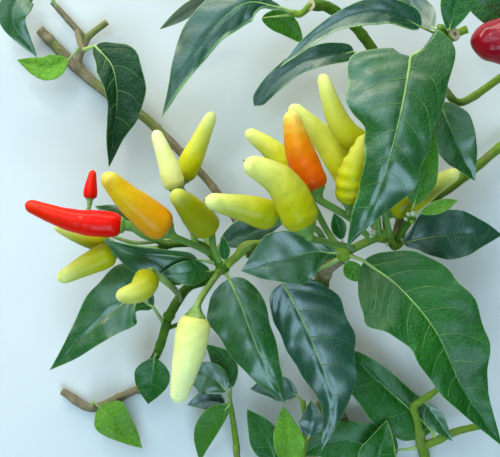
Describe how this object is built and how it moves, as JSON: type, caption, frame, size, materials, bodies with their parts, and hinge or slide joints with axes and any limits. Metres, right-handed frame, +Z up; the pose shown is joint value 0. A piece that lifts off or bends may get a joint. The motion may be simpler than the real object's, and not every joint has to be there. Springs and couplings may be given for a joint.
{
  "type": "cut fruiting branch of a chilli pepper plant",
  "caption": "Cut leafy branch of a chilli pepper plant lying flat, with tapering pods in yellow-green, orange and red on curved stalks among long pointed leaves.",
  "frame": {"origin": "middle of the underside of the branch's bounding box, on the ground that it lies on", "axes": "+Z up, towards the picture's viewpoint; +X along the picture's width to the right; +Y towards the picture's top edge"},
  "size_m": [0.2566, 0.2376, 0.0893],
  "materials": {
    "bark_brown": "matt",
    "bark_green": "satin",
    "leaf": "glossy",
    "stalk": "satin",
    "pod_yellow": "glossy",
    "pod_pale": "glossy",
    "pod_orange": "glossy",
    "pod_red": "glossy"
  },
  "bodies": {
    "root": {"bough_trunk": "bark_brown", "bough_left": "bark_green", "bough_right": "bark_green", "bough_upper": "bark_brown", "bough_top": "bark_green", "bough_woody": "bark_brown", "bough_low": "bark_green", "bough_far_right": "bark_green", "bough_foot": "bark_brown", "spray_left": "leaf", "spray_low": "leaf", "spray_middle": "leaf", "spray_right": "leaf", "spray_crown": "leaf", "spray_top": "leaf", "spray_behind": "leaf", "spray_far_left": "leaf", "spray_far_right": "leaf", "spray_foot": "leaf", "spray_low_right": "leaf", "pod_red_long": "pod_red", "stalk_red_long": "stalk", "pod_orange_left": "pod_orange", "stalk_orange_left": "stalk", "pod_green_behind_red": "pod_yellow", "stalk_green_behind_red": "stalk", "pod_green_low_left": "pod_yellow", "stalk_green_low_left": "stalk", "pod_green_bent": "pod_yellow", "stalk_green_bent": "stalk", "pod_pale_upper": "pod_pale", "stalk_pale_upper": "stalk", "pod_green_upper": "pod_yellow", "stalk_green_upper": "stalk", "pod_green_toward": "pod_yellow", "stalk_green_toward": "stalk", "pod_green_centre": "pod_yellow", "stalk_green_centre": "stalk", "pod_pale_hanging": "pod_pale", "stalk_pale_hanging": "stalk", "pod_green_mid_left": "pod_yellow", "stalk_green_mid_left": "stalk", "pod_orange_mid": "pod_orange", "stalk_orange_mid": "stalk", "pod_green_large": "pod_yellow", "stalk_green_large": "stalk", "pod_green_mid_right": "pod_yellow", "stalk_green_mid_right": "stalk", "pod_green_high": "pod_yellow", "stalk_green_high": "stalk", "pod_wrinkled": "pod_yellow", "stalk_wrinkled": "stalk", "pod_green_right": "pod_yellow", "stalk_green_right": "stalk", "pod_red_right": "pod_red", "stalk_red_right": "stalk", "pod_red_small": "pod_red", "stalk_red_small": "stalk"}
  },
  "joints": []
}
